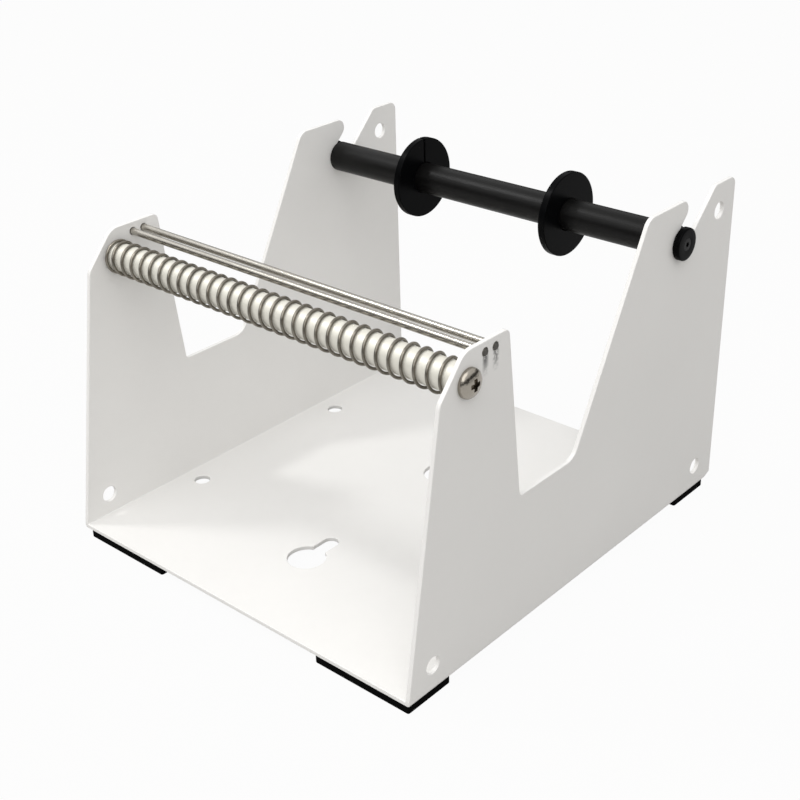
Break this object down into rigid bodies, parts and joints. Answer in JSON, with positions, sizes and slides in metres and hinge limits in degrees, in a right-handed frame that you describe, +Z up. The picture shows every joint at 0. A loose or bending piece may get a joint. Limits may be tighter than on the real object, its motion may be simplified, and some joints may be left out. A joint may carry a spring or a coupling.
{
  "type": "label dispenser",
  "caption": "Desk label dispenser: folded white steel frame, sprung front roller and guide rods, lift-out black spindle with two sliding guide discs.",
  "frame": {"origin": "middle of the overall box, on the surface that the feet stand on", "axes": "+Z up, -Y towards the user, where the roller is, +X to the user's right along the spindle"},
  "size_m": [0.2078, 0.2218, 0.1561],
  "materials": {
    "white_powder_coat": "satin white powder coat",
    "foot_rubber": "matte black rubber",
    "roller_aluminium": "satin",
    "spring_steel": "drawn spring wire",
    "screw_steel": "polished stainless steel",
    "guide_steel": "bright drawn stainless steel",
    "satin_black_tube": "satin black",
    "gloss_black_plastic": "moulded gloss black",
    "bush_plastic": "self-lubricating plastic",
    "black_steel": "black oxide steel"
  },
  "bodies": {
    "root": {"frame": "white_powder_coat", "foot_front_left": "foot_rubber", "foot_front_right": "foot_rubber", "foot_rear_left": "foot_rubber", "foot_rear_right": "foot_rubber", "roller_rod": "roller_aluminium", "roller_screw_left": "screw_steel", "roller_screw_right": "screw_steel", "guide_rod_front": "guide_steel", "guide_rod_rear": "guide_steel"},
    "spring": {"roller_spring": "spring_steel"},
    "spindle": {"spindle_axle": "black_steel", "spindle_cap_left": "gloss_black_plastic", "spindle_cap_right": "gloss_black_plastic", "cap_screw_left": "black_steel", "cap_screw_right": "black_steel"},
    "tube": {"spindle_tube": "satin_black_tube", "tube_bush_left": "bush_plastic", "tube_bush_right": "bush_plastic"},
    "disc_left": {"guide_disc_left": "gloss_black_plastic"},
    "disc_right": {"guide_disc_right": "gloss_black_plastic"}
  },
  "joints": [
    {"name": "spring_turn", "type": "hinge", "parent": "root", "child": "spring", "pos_m": [0, -0.0751, 0.1284], "axis": [1, 0, 0], "continuous": true},
    {"name": "spindle_lift", "type": "slide", "parent": "root", "child": "spindle", "axis": [0, 0.7071, 0.7071], "range_m": [0, 0.045]},
    {"name": "tube_turn", "type": "hinge", "parent": "spindle", "child": "tube", "pos_m": [0, 0.0678, 0.137], "axis": [1, 0, 0], "continuous": true},
    {"name": "disc_left_slide", "type": "slide", "parent": "tube", "child": "disc_left", "axis": [1, 0, 0], "range_m": [-0.0524, 0.041]},
    {"name": "disc_right_slide", "type": "slide", "parent": "tube", "child": "disc_right", "axis": [1, 0, 0], "range_m": [-0.039, 0.0544]}
  ]
}
